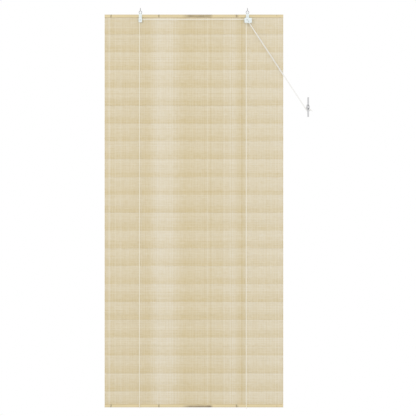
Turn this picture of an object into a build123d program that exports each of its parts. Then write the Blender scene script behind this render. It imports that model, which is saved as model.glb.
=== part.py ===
from build123d import *
import os
from math import acos, asin, atan2, cos, degrees, hypot, pi, radians, sin, tan

# A bamboo roll up blind, let down, in millimetres. +X is to the right as seen from the room,
# +Y goes to the wall and +Z is up. The origin is midway between the two screw eyes, on the
# plane that their shoulders are screwed up to.

# Blind
BLIND_W = 1000.0
BLIND_H = 2200.0
SLAT_H = 16.0
SLAT_T = 5.0
SLAT_CROWN = 0.6
MAT_T = 2.2

# Reeds of the mat: one ridge stands for two reeds, and the mat is open at a slit row every band
RIDGE_PITCH = 4.6
RIDGE_DEPTH = 0.5
BAND_H = 100.0
FIRST_BAND_Z = 110.0
SLIT_H = 0.9
SLITS_PER_ROW = 5
SLIT_BRIDGE = 16.7

# Screw eyes
EYE_SPACING = 600.0
EYE_RING_R = 7.8
EYE_WIRE_R = 1.8
EYE_TO_RAIL = 3.0
EYE_NECK_R = 2.3
EYE_NECK_L = 1.8
EYE_SHANK_R = 2.0
EYE_SHANK_L = 15.0
EYE_TIP_L = 4.0

# Nails through the slats, by their places along the blind
NAIL_X = (-464.0, -196.0, 52.0, 240.0, 464.0)
NAIL_R = 0.9
NAIL_HEAD_R = 1.8
NAIL_HEAD_T = 0.6

# Straps, which hang the rail in the eyes, and their rivets
PLATE_T = 3.5
NECK_W = 17.0
NECK_ROUND = 3.0
CROWN_W = 8.0
CROWN_EDGE = 0.8
CROWN_REST = 1.4
BACK_PLATE_W = 24.0
BACK_PLATE_H = 22.0
TAB_W = 10.0
TAB_T = 3.0
TAB_MARGIN = 3.4
RIVET_R = 2.0
RIVET_HEAD_R = 3.6
RIVET_HEAD_T = 1.2
FIXING_CLEAR = 0.05

# Cords and the wheels that they run on
CORD_D = 3.0
CORD_CLEAR = 0.3
LEFT_CORD_X = -305.0
RIGHT_CORD_X = 293.0
CROSS_CORD_DROP = 27.5
WRAP_R = 4.5
WHEEL_W = 4.6
FLANGE_R = 6.6
AXLE_R = 1.25
AXLE_HEAD_R = 2.6
AXLE_HEAD_T = 0.8
RUNNING_CLEAR = 0.05
SIDE_CLEAR = 0.2
WHEEL_SPACE = 0.3
POCKET_CLEAR = 0.6
CHEEK_T = 2.0
WHEEL_LEAD = 6.0

# Pulley body, measured from its strap's middle and the rail's top edge
BODY_TOP_DROP = 20.0
BODY_ROUND = 4.0
BODY_EDGE = 0.8
PULLEY_LEFT = 9.6
PULLEY_RIGHT = 9.5
PULLEY_DROP = 44.5

# Cord lock
LOCK_LEFT = 17.4
LOCK_RIGHT = 23.7
LOCK_DROP = 48.5
CHANNEL_TILT = 22.0
CHANNEL_SLACK = 0.4
LIP_RISE = 1.0
LIP_R = 12.0
LIP_OPEN = 5.0
EXIT_STUB = 4.0
SLOT_W = 2.4
SLOT_START = 3.0
SLOT_END = 15.0
CAM_X = 16.0
CAM_DROP = 35.0
CAM_HUB_R = 4.0
CAM_LOBE_W = 6.0
CAM_BITE = 0.4
CAM_CLEAR = 0.3
CAM_STOP_GAP = 0.3
CAM_SIDE_CLEAR = 0.3
CAM_POCKET_CLEAR = 0.8
CAM_PIN_R = 1.5
CAM_TEETH = 5
CAM_TOOTH_ANGLE = 6.0
CAM_TOOTH_R = 0.4

# Knots at the cords' back ends
KNOT_R = 3.2
KNOT_FLAT = 2.4
KNOT_GAP = 0.3
BIGHT_ROUND = 0.48

# Cleat on the wall, and its screws
WALL_Y = 17.0
CLEAT_X = 639.5
CLEAT_DROP = 518.5
CLEAT_BASE_W = 22.0
CLEAT_BASE_H = 39.0
CLEAT_BASE_T = 4.0
CLEAT_GAP = 14.0
CLEAT_STEM_W = 11.0
CLEAT_STEM_H = 34.0
CLEAT_BAR_T = 6.0
CLEAT_BAR_W = 9.5
CLEAT_LENGTH = 110.0
CLEAT_FLARE = 6.0
CLEAT_TIP_T = 4.0
CLEAT_EDGE = 1.2
SCREW_SPACING = 20.0
SCREW_SHANK_R = 1.5
SCREW_R = 1.75
SCREW_HEAD_R = 3.5
SCREW_HOLE_R = 2.0
SCREW_IN_WALL = 18.0
SCREW_TIP_L = 4.0
SCREW_SLOT_W = 0.9
SCREW_SLOT_DEPTH = 1.0

# Pull cords at the cleat: the right one turns outside the left one, and a little in front of it
CLEAT_WRAP_CLEAR = 1.0
CLEAT_CORD_SPREAD = 3.6
CLEAT_CORD_STEP = 1.0
CLEAT_CORD_BACK = 1.8
KNOT_RUN_ANGLE = 25.0
KNOT_RUN = 8.5
END_KNOT_R = 5.0
END_KNOT_FACE = 3.0
TAIL_L = 9.0
TAIL_SPREAD = 3.2

# Places that follow from the sizes
CORD_R = CORD_D / 2
RAIL_TOP = -(EYE_NECK_L + 2 * (EYE_RING_R + EYE_WIRE_R) + EYE_TO_RAIL)
RAIL_Z = RAIL_TOP - SLAT_H / 2
BATTEN_Z = RAIL_TOP - BLIND_H + SLAT_H / 2
RAIL_HALF = MAT_T / 2 + SLAT_T
EYE_X = {"left": -EYE_SPACING / 2, "right": EYE_SPACING / 2}
CORD_X = {"left": LEFT_CORD_X, "right": RIGHT_CORD_X}
PLATE_Y = RAIL_HALF + PLATE_T
BACK_WHEEL_Y = -(PLATE_Y + SIDE_CLEAR + WHEEL_W / 2)
FRONT_WHEEL_Y = BACK_WHEEL_Y - WHEEL_W - WHEEL_SPACE
FRONT_CORD_Y = {"left": BACK_WHEEL_Y, "right": FRONT_WHEEL_Y}
BACK_CORD_Y = PLATE_Y + KNOT_R + KNOT_GAP
CROSS_CORD_Z = RAIL_TOP - CROSS_CORD_DROP
WHEEL_Z = CROSS_CORD_Z - WRAP_R
WHEEL_X = {"left": LEFT_CORD_X + WRAP_R, "right": RIGHT_CORD_X + WRAP_R}
RUN_TOP_Z = WHEEL_Z - WHEEL_LEAD
RUN_BOTTOM_Z = BATTEN_Z + SLAT_H / 2
EYE_SEAT_Z = -(EYE_NECK_L + 2 * EYE_RING_R)
CROWN_Z = EYE_SEAT_Z + CROWN_REST - RAIL_HALF
TAB_TOP_Z = RAIL_TOP - BACK_PLATE_H + TAB_T
PULLEY_CHEEK_Y = BACK_WHEEL_Y - WHEEL_W / 2 - SIDE_CLEAR
LOCK_CHEEK_Y = FRONT_WHEEL_Y - WHEEL_W / 2 - SIDE_CLEAR
CLEAT_Z = RAIL_TOP - CLEAT_DROP

# The cords' way through the lock and on to the cleat, as points in X and Z
TILT = radians(CHANNEL_TILT)
CHANNEL_DIR = (sin(TILT), -cos(TILT))
CHANNEL_TOP = (WHEEL_X["right"] + WRAP_R * cos(TILT), WHEEL_Z + WRAP_R * sin(TILT))
LOCK_BOTTOM_Z = RAIL_TOP - LOCK_DROP
LIP_Z = LOCK_BOTTOM_Z + LIP_RISE
CHANNEL_L = (CHANNEL_TOP[1] - LIP_Z) / cos(TILT)
LIP_X = CHANNEL_TOP[0] + CHANNEL_L * sin(TILT)
STEM_ROUND = CLEAT_STEM_W / 2
STEM_LOW_Z = CLEAT_Z - CLEAT_STEM_H / 2 + STEM_ROUND
INNER_WRAP_R = STEM_ROUND + CORD_R + CLEAT_WRAP_CLEAR
CLEAT_WRAP_R = {"left": INNER_WRAP_R, "right": INNER_WRAP_R + CLEAT_CORD_SPREAD}
KNOT_ANGLE = radians(KNOT_RUN_ANGLE)
CLEAT_BACK_Y = WALL_Y - CLEAT_BASE_T - CLEAT_GAP
CLEAT_CORD_Y = {
    "left": CLEAT_BACK_Y + CLEAT_CORD_BACK + CLEAT_CORD_STEP,
    "right": CLEAT_BACK_Y + CLEAT_CORD_BACK,
}

# The cam's reach from its pin to the cords
CAM_PIN = (EYE_X["right"] + CAM_X, RAIL_TOP - CAM_DROP)
CAM_TO_CORD = (
    (CAM_PIN[0] - CHANNEL_TOP[0]) * cos(TILT) + (CAM_PIN[1] - CHANNEL_TOP[1]) * sin(TILT) - CORD_R
)
CAM_R = CAM_TO_CORD + CAM_BITE
CAM_CORNER_ANGLE = degrees(asin(CAM_LOBE_W / 2 / CAM_R))
CAM_LOCK_ANGLE = degrees(acos((CAM_TO_CORD - CAM_CLEAR) / CAM_R))
CAM_TRAVEL = 90 - CHANNEL_TILT - CAM_CORNER_ANGLE - CAM_LOCK_ANGLE


def block(x0, x1, y0, y1, z0, z1):
    """A box between two corners."""
    middle = Pos((x0 + x1) / 2, (y0 + y1) / 2, (z0 + z1) / 2)
    return middle * Box(abs(x1 - x0), abs(y1 - y0), abs(z1 - z0))


def rod_y(x, z, y0, y1, radius):
    """A round bar along Y."""
    return Pos(x, (y0 + y1) / 2, z) * Rot(90, 0, 0) * Cylinder(radius, abs(y1 - y0))


def rod_z(x, y, z0, z1, radius):
    """A round bar along Z."""
    return Pos(x, y, (z0 + z1) / 2) * Cylinder(radius, abs(z1 - z0))


def cone_y(x, z, y0, y1, radius0, radius1):
    """A cone along Y, from radius0 at y0 to radius1 at y1, with y1 the greater."""
    return Pos(x, (y0 + y1) / 2, z) * Rot(-90, 0, 0) * Cone(radius0, radius1, y1 - y0)


def slab(outline, y_back, y_front):
    """An outline in X and Z, made solid from y_back forward to y_front."""
    return extrude(Plane(origin=(0, y_back, 0), x_dir=(1, 0, 0), z_dir=(0, -1, 0)) * outline, y_back - y_front)


def tube(points, radii):
    """A cord along straight runs joined by tangent arcs."""
    path = FilletPolyline(*points, radius=radii)
    section = Plane(origin=path @ 0, z_dir=path % 0) * Circle(CORD_R)
    return sweep(section, path=path)


def slat(z, side, fixing_holes):
    """A flat bamboo slat with a gently crowned outer face. side is -1 in front of the mat and 1 behind."""
    inner = side * MAT_T / 2
    edge = side * (RAIL_HALF - SLAT_CROWN)
    outer = side * RAIL_HALF
    low, high = -SLAT_H / 2, SLAT_H / 2
    outline = Polyline((edge, low), (inner, low), (inner, high), (edge, high))
    outline += ThreePointArc((edge, high), (outer, 0), (edge, low))
    profile = Plane.YZ * make_face(outline)
    return Pos(-BLIND_W / 2, 0, z) * extrude(profile, BLIND_W) - fixing_holes


def nail_holes(z):
    """The holes that the nails make through slats and mat."""
    return [rod_y(x, z, -RAIL_HALF, RAIL_HALF, NAIL_R + FIXING_CLEAR) for x in NAIL_X]


def rivet_holes():
    """The holes of the strap rivets through the head rail."""
    reach = PLATE_Y
    return [rod_y(x, RAIL_Z, -reach, reach, RIVET_R + FIXING_CLEAR) for x in EYE_X.values()]


def nails(z):
    """The nails through one pair of slats, headed in front and clinched behind."""
    made = []
    for x in NAIL_X:
        nail = rod_y(x, z, -RAIL_HALF, RAIL_HALF, NAIL_R)
        nail += rod_y(x, z, -RAIL_HALF - NAIL_HEAD_T, -RAIL_HALF, NAIL_HEAD_R)
        nail += rod_y(x, z, RAIL_HALF, RAIL_HALF + NAIL_HEAD_T, NAIL_HEAD_R)
        made.append(nail)
    return Compound(children=made)


def reed_mat():
    """The mat: a thin wall with a ridge for each pair of reeds on both faces, and rows of open slits."""
    crest = MAT_T / 2
    valley = crest - RIDGE_DEPTH
    top, bottom = RAIL_TOP, RAIL_TOP - BLIND_H
    ridged = BLIND_H - 2 * SLAT_H
    count = round(ridged / RIDGE_PITCH)
    pitch = ridged / count
    front, back = [], []
    for i in range(count):
        start = top - SLAT_H - i * pitch
        front += [(-crest, start), (-valley, start - pitch / 2)]
        back += [(crest, start), (valley, start - pitch / 2)]
    end = [(-crest, bottom + SLAT_H), (-crest, bottom), (crest, bottom), (crest, bottom + SLAT_H)]
    outline = [(crest, top), (-crest, top)] + front + end + back[::-1]
    mat = Pos(-BLIND_W / 2, 0, 0) * extrude(Plane.YZ * make_face(Polyline(*outline, close=True)), BLIND_W)
    cuts = nail_holes(RAIL_Z) + nail_holes(BATTEN_Z) + rivet_holes()
    slit_pitch = BLIND_W / SLITS_PER_ROW
    rows = int((BLIND_H - FIRST_BAND_Z - SLAT_H - BAND_H / 2) / BAND_H) + 1
    for row in range(rows):
        ridge = round((FIRST_BAND_Z + row * BAND_H - SLAT_H) / pitch - 0.5)
        z = top - SLAT_H - (ridge + 0.5) * pitch
        for i in range(SLITS_PER_ROW):
            x = -BLIND_W / 2 + i * slit_pitch
            low, high = x + SLIT_BRIDGE / 2, x + slit_pitch - SLIT_BRIDGE / 2
            cuts.append(block(low, high, -MAT_T, MAT_T, z - SLIT_H / 2, z + SLIT_H / 2))
    return mat - cuts


def screw_eye(x):
    """A closed wire ring, a short neck with a shoulder, and a pointed shank. Its fine thread isn't cut."""
    ring_z = -(EYE_NECK_L + EYE_WIRE_R + EYE_RING_R)
    ring = Pos(x, 0, ring_z) * Rot(90, 0, 0) * Torus(EYE_RING_R, EYE_WIRE_R)
    neck = rod_z(x, 0, -EYE_NECK_L - EYE_WIRE_R, 0, EYE_NECK_R)
    straight = EYE_SHANK_L - EYE_TIP_L
    shank = rod_z(x, 0, 0, straight, EYE_SHANK_R)
    tip = Pos(x, 0, straight + EYE_TIP_L / 2) * Cone(EYE_SHANK_R, EYE_WIRE_R / 4, EYE_TIP_L)
    return ring + neck + shank + tip


def crown(x):
    """A half round arch over the rail, from the plate behind it to the neck in front."""
    section = Pos(x, -(RAIL_HALF + PLATE_Y) / 2, CROWN_Z) * RectangleRounded(CROWN_W, PLATE_T, CROWN_EDGE)
    return revolve(section, Axis((x, 0, CROWN_Z), (-1, 0, 0)), 180)


def strap(side):
    """The strap of one body: a neck in front of the rail, an arched crown through the eye, a plate behind
    the rail, and a tab with a hole that the back cord hangs from."""
    x = EYE_X[side]
    body_top = RAIL_TOP - BODY_TOP_DROP
    neck_h = CROWN_Z - body_top + BODY_ROUND
    neck = Pos(x, CROWN_Z - neck_h / 2) * Rectangle(NECK_W, neck_h)
    neck = fillet(neck.vertices().group_by(Axis.Y)[-1], NECK_ROUND)
    made = slab(neck, -RAIL_HALF, -PLATE_Y)
    made += crown(x)
    plate_low = RAIL_TOP - BACK_PLATE_H
    plate = Pos(x, (CROWN_Z + plate_low) / 2) * Rectangle(BACK_PLATE_W, CROWN_Z - plate_low)
    plate = fillet(plate.vertices().group_by(Axis.Y)[-1], NECK_ROUND)
    made += slab(plate, PLATE_Y, RAIL_HALF)
    tab_end = BACK_CORD_Y + TAB_MARGIN
    cord_x = CORD_X[side]
    made += block(cord_x - TAB_W / 2, cord_x + TAB_W / 2, PLATE_Y - PLATE_T / 2, tab_end, plate_low, TAB_TOP_Z)
    made -= rod_z(cord_x, BACK_CORD_Y, plate_low - TAB_T, TAB_TOP_Z + TAB_T, CORD_R + CORD_CLEAR)
    return made


def body_block(x0, x1, bottom, cheek_y):
    """The rounded block of a pulley or lock body, before it is hollowed."""
    top = RAIL_TOP - BODY_TOP_DROP
    outline = Pos((x0 + x1) / 2, (top + bottom) / 2) * RectangleRounded(x1 - x0, top - bottom, BODY_ROUND)
    made = slab(outline, -RAIL_HALF, cheek_y - CHEEK_T)
    return fillet(made.faces().sort_by(Axis.Y)[0].edges(), BODY_EDGE)


def hollow(outline, cheek_y):
    """A hollow between the back plate and the front cheek."""
    return slab(outline, -PLATE_Y, cheek_y)


def window(x0, x1, z0, z1):
    """A rectangle in X and Z between two corners."""
    return Pos((x0 + x1) / 2, (z0 + z1) / 2) * Rectangle(abs(x1 - x0), abs(z1 - z0))


def pulley_housing():
    """The left body: one wheel pocket, open below for the lift cord and on the right for the cross cord."""
    x = EYE_X["left"]
    x0, x1 = x - PULLEY_LEFT, x + PULLEY_RIGHT
    bottom = RAIL_TOP - PULLEY_DROP
    wheel_x = WHEEL_X["left"]
    half = CORD_R + POCKET_CLEAR
    pocket = Pos(wheel_x, WHEEL_Z) * Circle(FLANGE_R + POCKET_CLEAR)
    pocket += window(LEFT_CORD_X - half, LEFT_CORD_X + half, WHEEL_Z, bottom - CORD_D)
    pocket += window(wheel_x, x1 + CORD_D, CROSS_CORD_Z - half, CROSS_CORD_Z + half)
    made = strap("left") + body_block(x0, x1, bottom, PULLEY_CHEEK_Y)
    made -= hollow(pocket, PULLEY_CHEEK_Y)
    made -= rod_y(wheel_x, WHEEL_Z, -RAIL_HALF, PULLEY_CHEEK_Y - CHEEK_T, AXLE_R)
    return made - rivet_holes()


def lock_housing():
    """The right body: a pocket for two wheels side by side, a slanted channel that both cords leave by, and
    a pocket for the cam beside it."""
    x = EYE_X["right"]
    x0, x1 = x - LOCK_LEFT, x + LOCK_RIGHT
    wheel_x = WHEEL_X["right"]
    half = CORD_R + POCKET_CLEAR
    channel_half = CORD_R + CHANNEL_SLACK
    pocket = Pos(wheel_x, WHEEL_Z) * Circle(FLANGE_R + POCKET_CLEAR)
    pocket += window(RIGHT_CORD_X - half, RIGHT_CORD_X + half, WHEEL_Z, LOCK_BOTTOM_Z - CORD_D)
    pocket += window(x0 - CORD_D, wheel_x, CROSS_CORD_Z - half, CROSS_CORD_Z + half)
    middle = (
        CHANNEL_TOP[0] + CHANNEL_L / 2 * CHANNEL_DIR[0],
        CHANNEL_TOP[1] + CHANNEL_L / 2 * CHANNEL_DIR[1],
    )
    pocket += Pos(*middle) * Rot(0, 0, CHANNEL_TILT) * Rectangle(2 * channel_half, CHANNEL_L)
    pocket += window(LIP_X - 2 * CORD_R, LIP_X + LIP_OPEN, LIP_Z + 2 * LIP_RISE, LOCK_BOTTOM_Z - CORD_D)
    reach = CAM_R + CAM_POCKET_CLEAR
    sweep_room = window(-reach, CAM_LOBE_W / 2 + CAM_STOP_GAP, -reach, 0)
    pocket += Pos(*CAM_PIN) * (Circle(reach) & sweep_room)
    pocket += Pos(*CAM_PIN) * Circle(CAM_HUB_R + POCKET_CLEAR)
    made = strap("right") + body_block(x0, x1, LOCK_BOTTOM_Z, LOCK_CHEEK_Y)
    made -= hollow(pocket, LOCK_CHEEK_Y)
    slot_middle = (SLOT_START + SLOT_END) / 2
    slot_at = (
        CHANNEL_TOP[0] + slot_middle * CHANNEL_DIR[0],
        CHANNEL_TOP[1] + slot_middle * CHANNEL_DIR[1],
    )
    slot = Pos(*slot_at) * Rot(0, 0, CHANNEL_TILT + 90) * SlotOverall(SLOT_END - SLOT_START, SLOT_W)
    made -= slab(slot, LOCK_CHEEK_Y, LOCK_CHEEK_Y - CHEEK_T)
    made -= rod_y(wheel_x, WHEEL_Z, -RAIL_HALF, LOCK_CHEEK_Y - CHEEK_T, AXLE_R)
    made -= rod_y(*CAM_PIN, -RAIL_HALF, LOCK_CHEEK_Y - CHEEK_T, CAM_PIN_R)
    return made - rivet_holes()


def grooved_wheel(x, y):
    """A wheel with a round-bottomed groove that clears the cord."""
    groove = CORD_R + CORD_CLEAR
    bore = AXLE_R + RUNNING_CLEAR
    profile = Pos((bore + FLANGE_R) / 2, 0) * Rectangle(FLANGE_R - bore, WHEEL_W)
    profile -= Pos(WRAP_R, 0) * Circle(groove)
    profile -= Pos(WRAP_R + FLANGE_R / 2, 0) * Rectangle(FLANGE_R, 2 * groove)
    return Pos(x, y, WHEEL_Z) * revolve(profile, Axis.Y)


def headed_pin(x, z, radius, cheek_y):
    """A pin through the back plate and the front cheek, with a flat head in front."""
    face = cheek_y - CHEEK_T
    return rod_y(x, z, -RAIL_HALF, face, radius) + rod_y(x, z, face, face - AXLE_HEAD_T, AXLE_HEAD_R)


def strap_rivet(x):
    """A rivet through strap, rail and back plate, with a flat head at each end."""
    rivet = rod_y(x, RAIL_Z, -PLATE_Y, PLATE_Y, RIVET_R)
    rivet += rod_y(x, RAIL_Z, -PLATE_Y - RIVET_HEAD_T, -PLATE_Y, RIVET_HEAD_R)
    return rivet + rod_y(x, RAIL_Z, PLATE_Y, PLATE_Y + RIVET_HEAD_T, RIVET_HEAD_R)


def lock_cam():
    """A hub with one lobe that hangs down, toothed along its nose."""
    lobe = Pos(0, -CAM_R / 2) * Rectangle(CAM_LOBE_W, CAM_R) & Circle(CAM_R)
    outline = Circle(CAM_HUB_R) + lobe
    for i in range(CAM_TEETH):
        angle = radians(-90 + (i - (CAM_TEETH - 1) / 2) * CAM_TOOTH_ANGLE)
        outline -= Pos(CAM_R * cos(angle), CAM_R * sin(angle)) * Circle(CAM_TOOTH_R)
    outline -= Circle(CAM_PIN_R + RUNNING_CLEAR)
    back, front = -PLATE_Y - CAM_SIDE_CLEAR, LOCK_CHEEK_Y + CAM_SIDE_CLEAR
    return slab(Pos(*CAM_PIN) * outline, back, front)


def lip_point(side):
    """Where a cord turns at the lock's lip."""
    return (LIP_X, FRONT_CORD_Y[side], LIP_Z)


def cleat_corner(side):
    """Where a pull cord's straight runs would meet under the cleat's stem."""
    wrap = CLEAT_WRAP_R[side]
    across, down = CLEAT_X - LIP_X, STEM_LOW_Z - LIP_Z
    angle = atan2(down, across) - asin(wrap / hypot(across, down))
    run = wrap * tan((KNOT_ANGLE - angle) / 2)
    x = CLEAT_X + wrap * sin(angle) + run * cos(angle)
    z = STEM_LOW_Z - wrap * cos(angle) + run * sin(angle)
    return (x, CLEAT_CORD_Y[side], z)


def cord_end(side):
    """Where a pull cord runs into the end knot."""
    wrap = CLEAT_WRAP_R[side]
    x = CLEAT_X + wrap * sin(KNOT_ANGLE) + KNOT_RUN * cos(KNOT_ANGLE)
    z = STEM_LOW_Z - wrap * cos(KNOT_ANGLE) + KNOT_RUN * sin(KNOT_ANGLE)
    return (x, CLEAT_CORD_Y[side], z)


def pull_start(side):
    """The point just below the lip where a pull cord leaves the lock."""
    lip, corner = Vector(*lip_point(side)), Vector(*cleat_corner(side))
    return tuple(lip + (corner - lip).normalized() * EXIT_STUB)


def cross_cord():
    """The left cord from its wheel along the rail, over the lock's back wheel and out."""
    y = FRONT_CORD_Y["left"]
    over_x = CHANNEL_TOP[0] - (CROSS_CORD_Z - CHANNEL_TOP[1]) * tan(TILT)
    points = [
        (LEFT_CORD_X, y, RUN_TOP_Z),
        (LEFT_CORD_X, y, CROSS_CORD_Z),
        (over_x, y, CROSS_CORD_Z),
        lip_point("left"),
        pull_start("left"),
    ]
    return tube(points, [WRAP_R, WRAP_R, LIP_R])


def lock_cord_top():
    """The right cord from its lift run over the lock's front wheel and out."""
    y = FRONT_CORD_Y["right"]
    rise = WRAP_R * tan((pi - TILT) / 2)
    points = [
        (RIGHT_CORD_X, y, RUN_TOP_Z),
        (RIGHT_CORD_X, y, WHEEL_Z + rise),
        lip_point("right"),
        pull_start("right"),
    ]
    return tube(points, [WRAP_R, LIP_R])


def pull_cord(side):
    """A pull cord, straight from the lock to the cleat, round the stem and into the end knot."""
    return tube([pull_start(side), cleat_corner(side), cord_end(side)], [CLEAT_WRAP_R[side]])


def bight(side):
    """A lift cord's turn under the bottom batten."""
    x = CORD_X[side]
    low = BATTEN_Z - bight_radius(side)
    points = [
        (x, FRONT_CORD_Y[side], RUN_BOTTOM_Z),
        (x, FRONT_CORD_Y[side], low),
        (x, BACK_CORD_Y, low),
        (x, BACK_CORD_Y, RUN_BOTTOM_Z),
    ]
    return tube(points, bight_radius(side))


def bight_radius(side):
    """The radius of each quarter turn under the batten."""
    return BIGHT_ROUND * (BACK_CORD_Y - FRONT_CORD_Y[side])


def back_knot(x):
    """A tied lump that sits on the tab over the cord's end."""
    ball = Pos(x, BACK_CORD_Y, TAB_TOP_Z + KNOT_FLAT) * Sphere(KNOT_R)
    return ball & block(x - KNOT_R, x + KNOT_R, BACK_CORD_Y - KNOT_R, BACK_CORD_Y + KNOT_R, TAB_TOP_Z, 0)


def end_knot():
    """The lump that ties both pull cords together beside the cleat, with two short tails."""
    out = Vector(cos(KNOT_ANGLE), 0, sin(KNOT_ANGLE))
    face = (Vector(*cord_end("left")) + Vector(*cord_end("right"))) / 2
    middle = face + out * END_KNOT_FACE
    knot = Pos(*middle) * Sphere(END_KNOT_R)
    knot = split(knot, bisect_by=Plane(origin=face, z_dir=out), keep=Keep.TOP)
    for y in (-TAIL_SPREAD / 2, TAIL_SPREAD / 2):
        start = Plane(origin=middle + Vector(0, y, 0), z_dir=out + Vector(0, 0, -1))
        knot += start * Pos(0, 0, (END_KNOT_R + TAIL_L) / 2) * Cylinder(CORD_R, END_KNOT_R + TAIL_L)
    return knot


def cleat():
    """A wall cleat: an oval foot, an oblong stem and a bar whose two horns flare to the room."""
    foot_y = WALL_Y - CLEAT_BASE_T
    back_y = CLEAT_BACK_Y
    front_y = back_y - CLEAT_BAR_T
    at = Pos(CLEAT_X, CLEAT_Z)
    foot = slab(at * Ellipse(CLEAT_BASE_W / 2, CLEAT_BASE_H / 2), WALL_Y, foot_y)
    stem = slab(at * Rot(0, 0, 90) * SlotOverall(CLEAT_STEM_H, CLEAT_STEM_W), foot_y, front_y)
    half, flat = CLEAT_LENGTH / 2, CLEAT_STEM_H / 2
    bend = (half + flat) / 2
    tip_back = back_y - CLEAT_FLARE
    tip_front = tip_back - CLEAT_TIP_T
    sag = CLEAT_FLARE / 4
    horns = Polyline((back_y, -flat), (back_y, flat))
    horns += ThreePointArc((back_y, flat), (back_y - sag, bend), (tip_back, half))
    horns += Line((tip_back, half), (tip_front, half))
    horns += ThreePointArc((tip_front, half), (front_y - sag, bend), (front_y, flat))
    horns += Line((front_y, flat), (front_y, -flat))
    horns += ThreePointArc((front_y, -flat), (front_y - sag, -bend), (tip_front, -half))
    horns += Line((tip_front, -half), (tip_back, -half))
    horns += ThreePointArc((tip_back, -half), (back_y - sag, -bend), (back_y, -flat))
    bar = Pos(CLEAT_X - CLEAT_BAR_W / 2, 0, CLEAT_Z) * extrude(Plane.YZ * make_face(horns), CLEAT_BAR_W)
    bar = fillet(bar.faces().sort_by(Axis.X)[0].edges(), CLEAT_EDGE)
    bar = fillet(bar.faces().sort_by(Axis.X)[-1].edges(), CLEAT_EDGE)
    made = foot + stem + bar
    sink = SCREW_HEAD_R - SCREW_HOLE_R
    for z in screw_heights():
        made -= rod_y(CLEAT_X, z, front_y, WALL_Y, SCREW_HOLE_R)
        made -= cone_y(CLEAT_X, z, front_y, front_y + sink, SCREW_HEAD_R, SCREW_HOLE_R)
    return made


def screw_heights():
    """The two screws' heights."""
    return (CLEAT_Z + SCREW_SPACING / 2, CLEAT_Z - SCREW_SPACING / 2)


def cleat_screws():
    """Two countersunk cross-head screws that stand out behind the cleat: each has a thin smooth shank in
    the cleat and a thicker stretch for its thread, which isn't cut."""
    made = []
    front_y = CLEAT_BACK_Y - CLEAT_BAR_T
    tip_y = WALL_Y + SCREW_IN_WALL
    head_r = SCREW_HEAD_R - FIXING_CLEAR
    sink = head_r - SCREW_SHANK_R
    for z in screw_heights():
        screw = cone_y(CLEAT_X, z, front_y, front_y + sink, head_r, SCREW_SHANK_R)
        screw += rod_y(CLEAT_X, z, front_y + sink, WALL_Y, SCREW_SHANK_R)
        screw += rod_y(CLEAT_X, z, WALL_Y, tip_y - SCREW_TIP_L, SCREW_R)
        screw += cone_y(CLEAT_X, z, tip_y - SCREW_TIP_L, tip_y, SCREW_R, SCREW_R / 4)
        reach, half = SCREW_HEAD_R * 0.6, SCREW_SLOT_W / 2
        deep = front_y + SCREW_SLOT_DEPTH
        screw -= block(CLEAT_X - reach, CLEAT_X + reach, front_y, deep, z - half, z + half)
        screw -= block(CLEAT_X - half, CLEAT_X + half, front_y, deep, z - reach, z + reach)
        made.append(screw)
    return Compound(children=made)


def parts():
    """Every piece of the blind, by its name."""
    made = {
        "reed_mat": reed_mat(),
        "head_front_slat": slat(RAIL_Z, -1, nail_holes(RAIL_Z) + rivet_holes()),
        "head_back_slat": slat(RAIL_Z, 1, nail_holes(RAIL_Z) + rivet_holes()),
        "bottom_front_slat": slat(BATTEN_Z, -1, nail_holes(BATTEN_Z)),
        "bottom_back_slat": slat(BATTEN_Z, 1, nail_holes(BATTEN_Z)),
        "head_pins": nails(RAIL_Z),
        "bottom_pins": nails(BATTEN_Z),
        "pulley_housing": pulley_housing(),
        "pulley_wheel": grooved_wheel(WHEEL_X["left"], BACK_WHEEL_Y),
        "pulley_axle": headed_pin(WHEEL_X["left"], WHEEL_Z, AXLE_R, PULLEY_CHEEK_Y),
        "lock_housing": lock_housing(),
        "lock_wheel_back": grooved_wheel(WHEEL_X["right"], BACK_WHEEL_Y),
        "lock_wheel_front": grooved_wheel(WHEEL_X["right"], FRONT_WHEEL_Y),
        "lock_wheel_axle": headed_pin(WHEEL_X["right"], WHEEL_Z, AXLE_R, LOCK_CHEEK_Y),
        "lock_cam": lock_cam(),
        "lock_cam_pin": headed_pin(*CAM_PIN, CAM_PIN_R, LOCK_CHEEK_Y),
        "cross_cord": cross_cord(),
        "lock_cord_top": lock_cord_top(),
        "cord_end_knot": end_knot(),
        "cleat": cleat(),
        "cleat_screws": cleat_screws(),
    }
    for side in ("left", "right"):
        x = CORD_X[side]
        made[f"screw_eye_{side}"] = screw_eye(EYE_X[side])
        made[f"strap_rivet_{side}"] = strap_rivet(EYE_X[side])
        made[f"lift_cord_{side}_front"] = rod_z(x, FRONT_CORD_Y[side], RUN_BOTTOM_Z, RUN_TOP_Z, CORD_R)
        made[f"lift_cord_{side}_back"] = rod_z(x, BACK_CORD_Y, RUN_BOTTOM_Z, TAB_TOP_Z, CORD_R)
        made[f"lift_cord_{side}_bight"] = bight(side)
        made[f"cord_knot_{side}"] = back_knot(x)
        made[f"pull_cord_{side}"] = pull_cord(side)
    return made


os.makedirs("parts", exist_ok=True)
for name, solid in parts().items():
    export_step(solid, f"parts/{name}.step")
print(f"arc radii of the pull cords: {LIP_R:.2f} at the lock's lip")
for side, wrap in CLEAT_WRAP_R.items():
    print(f"and {wrap:.2f} at the cleat for the {side} one, which turns at {cleat_corner(side)}")
    print(f"the {side} one starts at {pull_start(side)} and ends at {cord_end(side)}")
print(f"arc radii of the lift cords: {WRAP_R:.2f} on the wheels")
print(f"and under the batten {bight_radius('left'):.2f} on the left, {bight_radius('right'):.2f} on the right")
print(f"cam travel {CAM_TRAVEL:.2f} degrees, and the cords turn at the lip at {lip_point('left')}")
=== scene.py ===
import math
import random

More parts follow.
